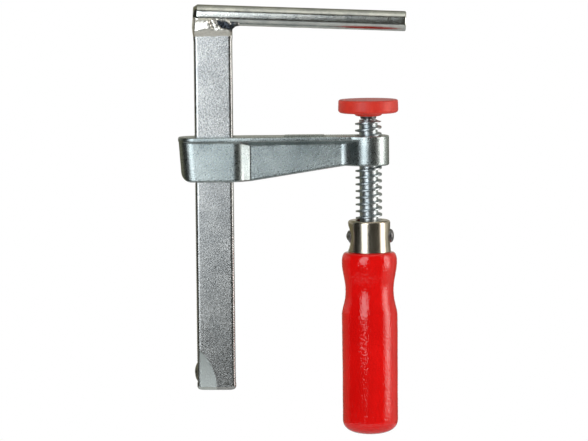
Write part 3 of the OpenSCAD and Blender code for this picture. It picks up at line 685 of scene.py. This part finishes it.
def makeFerrule():
    # a drawn cup turned about z, pressed flat where the cross pin was riveted over
    p = ferrule
    low, top, r = ferruleLow[2], ferruleHigh[2], ferruleHigh[0]
    ceiling, e = top - p["wall"], p["holeEdge"]
    profile = np.concatenate([
        [[r - p["wall"], low], [p["topRadius"] - p["wall"], ceiling],
         [p["hole"], ceiling], [p["hole"], top - e], [p["hole"] + e, top]],
        arcPoints(p["topRadius"] - p["round"], top - p["round"], p["round"], 90, 0, 9),
        [[r, low + p["rimUp"]], [r - p["rimIn"], low], [r - p["wall"], low]]])
    points, quads = turned(alongProfile(profile, p["spacing"]), p["sides"])
    x, y, z = points[..., 0], points[..., 1], points[..., 2]
    away = np.hypot(x, y)
    near = np.exp(-((y / p["dentWide"]) ** 2 + ((z - pinZ + p["dentDrop"]) / p["dentTall"]) ** 2) ** 2)
    sink = near * np.where(x < 0, p["dent"], p["press"]) * smoothStep(*p["dentFrom"], away)
    points = np.stack([x * (1 - sink / away), y * (1 - sink / away), z], -1)
    makePiece("nickel_ferrule", points, quads[:, ::-1], "screw", cupFinish, "ferrule")


crossPin = {
    "domeRadius": 3.05, "dome": 1.6, "domePower": 0.9,
    "rivetRadius": 3.0, "rivet": 1.7, "rivetPower": 1.6, "ragged": 0.12,
    "shaft": 2.0, "seat": 9.5, "rivetSeat": 8.5,            # the heads sit on the cup at these distances
    "sides": 48,
}


def makeCrossPin():
    # a rivet turned about its own axis and laid along x: domed on the right, hammered over on the left
    p = crossPin
    t = np.radians(np.linspace(0, 90, 10))
    dome, rivet = p["domeRadius"], p["rivetRadius"]
    right = np.stack([dome * np.sin(t), p["seat"] + p["dome"] * np.cos(t) ** p["domePower"]], -1)
    left = np.stack([rivet * np.sin(t), -p["rivetSeat"] - p["rivet"] * np.cos(t) ** p["rivetPower"]], -1)
    # both heads reach a little into the cup's wall, where the shaft begins
    profile = np.concatenate([
        right, [[dome, p["seat"] - 0.8], [p["shaft"], p["seat"] - 0.9]],
        [[p["shaft"], 0.5 - p["rivetSeat"]], [rivet, 0.4 - p["rivetSeat"]]], left[::-1]])
    points, quads = turned(profile, p["sides"])
    around = np.arctan2(points[..., 1], points[..., 0])
    uneven = 1 + p["ragged"] * (wobble(around * 2, points[..., 2] * 2) - 1) * (points[..., 2] < 0)
    points = np.stack([points[..., 2], points[..., 0] * uneven, points[..., 1] * uneven + pinZ], -1)
    makePiece("cross_rivet", points, quads[:, ::-1], "screw", steelFinish, "cross_pin")


handle = {
    # radius and depth below the top of each turn of the outline
    "swell": (12.45, 4.2), "waist": (10.9, 17.0), "grip": (12.6, 28.5), "end": 12.45,
    "shoulder": 0.6, "lag": 1.25,                           # fullness of the shoulder, lateness of the grip
    "endLength": 7.0, "endPower": 2.6,                      # the rounded end is a superellipse
    "tenon": 7.2, "tenonLong": 13.4, "bore": 3.75, "boreDepth": 46.0, "fit": 0.05,
    "recess": (6.1, 3.4),                                   # radius and depth of the thread's room in it
    "dip": 0.06, "dipFade": (0.2, 4.0),                     # waves of the thick lacquer, fading at the end
    "steps": 40, "sides": 128,
}
handleEnd = nodeBox("handle")[0][2]
handleTop = ferruleLow[2]


def makeHandle():
    # a turned outline carried round z: a full quarter wave to the swell, half cosine waves to the waist
    # and to the grip, a straight taper and a superellipse, with the slight waves of dipped lacquer
    p = handle
    t = np.linspace(0, 1, p["steps"])
    topR = ferruleHigh[0] + p["fit"]
    (swellR, swellD), (waistR, waistD), (gripR, gripD) = p["swell"], p["waist"], p["grip"]
    quarter = t * fullTurn / 4
    half = (1 - np.cos(math.pi * t)) / 2
    late = (1 - np.cos(math.pi * t ** p["lag"])) / 2
    endTop = handleTop - handleEnd - p["endLength"]
    power = 2 / p["endPower"]
    radius = np.concatenate([
        topR + (swellR - topR) * np.sin(quarter) ** p["shoulder"], (swellR + (waistR - swellR) * half)[1:],
        (waistR + (gripR - waistR) * late)[1:], (gripR + (p["end"] - gripR) * t)[1:],
        (p["end"] * np.cos(quarter) ** power)[1:-1], [0]])
    depth = np.concatenate([
        swellD * (1 - np.cos(quarter)), (swellD + (waistD - swellD) * t)[1:],
        (waistD + (gripD - waistD) * t)[1:], (gripD + (endTop - gripD) * t)[1:],
        (endTop + p["endLength"] * np.sin(quarter) ** power)[1:-1], [endTop + p["endLength"]]])
    up, boreEnd = handleTop + p["tenonLong"], handleTop - p["boreDepth"]
    recessR, recessD = p["recess"]
    tenon = [[0, boreEnd], [p["bore"], boreEnd], [p["bore"], up - recessD], [recessR, up - recessD],
             [recessR, up], [p["tenon"], up], [p["tenon"], handleTop]]
    profile = np.concatenate([tenon, np.stack([radius, handleTop - depth], -1)])
    points, quads = turned(profile, p["sides"])
    x, y, z = points[..., 0], points[..., 1], points[..., 2]
    around = np.arctan2(y, x)
    fadeStart, fadeEnd = p["dipFade"]
    outside = (np.hypot(x, y) > topR + 0.5) * smoothStep(handleEnd + fadeStart, handleEnd + fadeEnd, z)
    wave = np.sin(2 * around + 0.21 * z) + np.sin(3 * around - 0.13 * z + 1) + np.sin(0.35 * z + around)
    grow = 1 + p["dip"] * (wave / 3 - 1) / gripR * outside
    points = np.stack([x * grow, y * grow, z], -1)
    makePiece("lacquered_handle", points, quads[:, ::-1], "screw", handleFinish, "handle")


makeRail()
makeRoundArm()
makeWeld()
makeSlider()
makeSpindle()
makePad()
makeFerrule()
makeCrossPin()
makeHandle()

# the hidden retaining ring stays as the CAD has it
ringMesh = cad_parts["retaining_ring"].data
ringMesh.materials.clear()
ringMesh.materials.append(steelFinish)
print("pieces made")


# stage, light and camera

stage = {
    "middle": -35.0,                  # x of the object's middle, round which the set stands
    "floor": -280.0, "floorTone": "#f2f1ec", "floorReach": 9000.0, "matt": 0.9,
    "nearFloor": (160.0, 420.0),      # the floor turns to plain white between these distances
    # dim cards stand round the set and show only in reflections: degrees round the object from the
    # camera's side, positive to the right, and tone
    "cards": {"card_back_left": (-180, -97, "#827d68"), "card_left": (-97, -42, "#2c2b28"),
              "card_front": (-42, 60, "#44433d"), "card_right": (60, 125, "#c4c1b4"),
              "card_back_right": (125, 180, "#79776b")},
    # a paler backdrop stands behind the object, above its middle
    "backdrop": (97, 263, "#b9b6aa"), "backdropFoot": -55.0, "backdropTop": 650.0, "backdropGap": 10.0,
    # the same for the ceiling, which is brightest over the right of the set
    "ceiling": {"ceiling_left": (-90, 0, "#efeadb"), "ceiling_right": (0, 90, "#fffaf0"),
                "ceiling_back": (90, 270, "#b6b4a8")},
    "cardReach": 1500.0, "cardTop": 2250.0, "cardFoot": 300.0, "cardLift": 4.0, "cardSteps": 60,
    "fill": 0.25,                     # even light from all round
}


def stageMaterial(name, tone, glow):
    # a matt surface, or for a card one that gives off its own tone
    material = bpy.data.materials.new(name)
    material.use_nodes = True
    tree = material.node_tree
    shader = tree.nodes["Principled BSDF"]
    shader.inputs["Base Color"].default_value = (0, 0, 0, 1) if glow else colour(tone)
    shader.inputs["Roughness"].default_value = stage["matt"]
    shader.inputs["Specular IOR Level"].default_value = 0.0
    shader.inputs["Emission Color"].default_value = colour(tone)
    shader.inputs["Emission Strength"].default_value = glow
    return material, tree, shader


def seenDirectly(tree):
    # 1 for rays from the camera and for mirrored and refracted ones, 0 for light falling on surfaces
    path = addNode(tree, "ShaderNodeLightPath").outputs
    both = addNode(tree, "ShaderNodeMath", links={0: path["Is Camera Ray"], 1: path["Is Glossy Ray"]},
                   operation="MAXIMUM")
    return addNode(tree, "ShaderNodeMath", links={0: both.outputs[0], 1: path["Is Transmission Ray"]},
                   operation="MAXIMUM").outputs[0]


def stageObject(name, points, quads, material):
    # a mesh of the set, which isn't part of the object
    corners = np.asarray(points, float).reshape(-1, 3) * mm
    mesh = bpy.data.meshes.new(name)
    mesh.from_pydata(corners.tolist(), [], np.asarray(quads).tolist())
    mesh.materials.append(material)
    thing = bpy.data.objects.new(name, mesh)
    bpy.context.scene.collection.objects.link(thing)
    return thing


def makeStage():
    # round the object the floor is matt and takes its shadow, and further off it melts into the white
    p = stage
    material, tree, shader = stageMaterial("pale floor", p["floorTone"], 0.0)
    place = addNode(tree, "ShaderNodeTexCoord").outputs["Object"]
    away = addNode(tree, "ShaderNodeVectorMath", links={0: place}, operation="LENGTH").outputs["Value"]
    near, far = p["nearFloor"]
    fade = addNode(tree, "ShaderNodeMapRange", {"From Min": near * mm, "From Max": far * mm},
                   {"Value": away}, interpolation_type="SMOOTHSTEP")
    mask = addNode(tree, "ShaderNodeMath", links={0: fade.outputs["Result"], 1: seenDirectly(tree)},
                   operation="MULTIPLY")
    white = addNode(tree, "ShaderNodeEmission", {"Color": (1, 1, 1, 1), "Strength": 1.0})
    mix = addNode(tree, "ShaderNodeMixShader", links={0: mask.outputs[0], 1: shader.outputs["BSDF"],
                                                      2: white.outputs["Emission"]})
    tree.links.new(mix.outputs["Shader"], tree.nodes["Material Output"].inputs["Surface"])
    wide = p["floorReach"]
    corners = [[-wide, -wide, 0], [wide, -wide, 0], [wide, wide, 0], [-wide, wide, 0]]
    floor = stageObject("floor", corners, [(0, 1, 2, 3)], material)
    floor.location = (p["middle"] * mm, 0, p["floor"] * mm)
    # each card runs out over the floor and then up, a profile carried round z, and a ceiling closes them
    reach, top, foot, steps = p["cardReach"], p["cardTop"], p["floor"] + p["cardLift"], p["cardSteps"]
    back = reach - p["backdropGap"]
    walls = np.array([[p["cardFoot"], foot], [reach, foot], [reach, top]])
    roof = np.array([[reach, top], [1.0, top]])
    sheet = np.array([[back, p["backdropFoot"]], [back, p["backdropTop"]]])
    cards = [(walls, name, *row) for name, row in p["cards"].items()]
    cards += [(sheet, "backdrop", *p["backdrop"])]
    cards += [(roof, name, *row) for name, row in p["ceiling"].items()]
    for profile, name, start, end, tone in cards:
        a = np.radians(np.linspace(start, end, steps))[None]
        r, z = profile[:, :1], profile[:, 1:]
        points = np.stack([p["middle"] + r * np.sin(a), -r * np.cos(a), z + 0 * a], -1)
        quads = gridQuads(len(profile), steps, False)
        card = stageObject(name, points, quads, stageMaterial(name, tone, 1.0)[0])
        card.visible_camera = card.visible_diffuse = card.visible_shadow = False


lamps = {
    # degrees round the object (0 at the camera, positive to the right), distance, width, lower and upper
    # edge, degrees by which its top leans to the right, radiance, tone
    "left_softbox": (-21.0, 600, 340, -177, 470, 8, 3.75, "#fbfdff"),
    "right_softbox": (78.5, 600, 310, -260, 300, 0, 2.5, "#fff5f0"),
    "right_core": (79.0, 595, 50, -240, 280, 0, 5.0, "#fff5f0"),
    "back_softbox": (177.0, 600, 300, -270, -80, 0, 1.2, "#fbfdff"),
}


def makeLamps():
    # each lamp is a rectangle that faces the middle of the set: its power is radiance x pi x area
    for name, (azimuth, distance, width, low, high, lean, radiance, tone) in lamps.items():
        a = math.radians(azimuth)
        away = Vector((math.sin(a), -math.cos(a), 0))
        data = bpy.data.lights.new(name, "AREA")
        data.shape = "RECTANGLE"
        data.size, data.size_y = width * mm, (high - low) * mm
        data.energy = radiance * math.pi * data.size * data.size_y
        data.color = colour(tone)[:3]
        lamp = bpy.data.objects.new(name, data)
        bpy.context.scene.collection.objects.link(lamp)
        lamp.location = Vector((stage["middle"], 0, (low + high) / 2)) * mm + away * distance * mm
        turn = away.to_track_quat("Z", "Y").to_matrix() @ Matrix.Rotation(math.radians(-lean), 3, "Z")
        lamp.rotation_euler = turn.to_euler()
    # the world is white to the eye and lights the object evenly and weakly
    world = bpy.data.worlds.new("white studio")
    bpy.context.scene.world = world
    world.use_nodes = True
    tree = world.node_tree
    tree.nodes.clear()
    fill = addNode(tree, "ShaderNodeBackground", {"Color": (1, 1, 1, 1), "Strength": stage["fill"]})
    white = addNode(tree, "ShaderNodeBackground", {"Color": (1, 1, 1, 1), "Strength": 1.0})
    mix = addNode(tree, "ShaderNodeMixShader", links={0: seenDirectly(tree), 1: fill.outputs[0],
                                                      2: white.outputs[0]})
    addNode(tree, "ShaderNodeOutputWorld", links={"Surface": mix.outputs[0]})


camera = {
    "target": (-33.455, 0.0, -89.03),  # what the middle of the picture shows
    "elevation": 5.5, "roll": 0.547, "distance": 1500.0,
    "pixelsPerMm": 2.242, "pictureWidth": 588,
    "sensorWidth": 36.0, "farClip": 50.0,
}


def makeCamera():
    # stands off from the target by its distance, and its lens gives the picture's scale at the target
    p = camera
    e = math.radians(p["elevation"])
    away = Vector((0, -math.cos(e), math.sin(e)))
    data = bpy.data.cameras.new("camera")
    data.sensor_width = p["sensorWidth"]
    data.lens = p["sensorWidth"] * p["distance"] * p["pixelsPerMm"] / p["pictureWidth"]
    data.clip_end = p["farClip"]
    eye = bpy.data.objects.new("camera", data)
    bpy.context.scene.collection.objects.link(eye)
    turn = away.to_track_quat("Z", "Y").to_matrix().to_4x4()
    turn = turn @ Matrix.Rotation(math.radians(-p["roll"]), 4, "Z")
    place = (Vector(p["target"]) + away * p["distance"]) * mm
    eye.matrix_world = Matrix.Translation(place) @ turn
    bpy.context.scene.camera = eye
    bpy.context.scene.view_settings.view_transform = "Standard"


makeStage()
makeLamps()
makeCamera()
print("stage made")
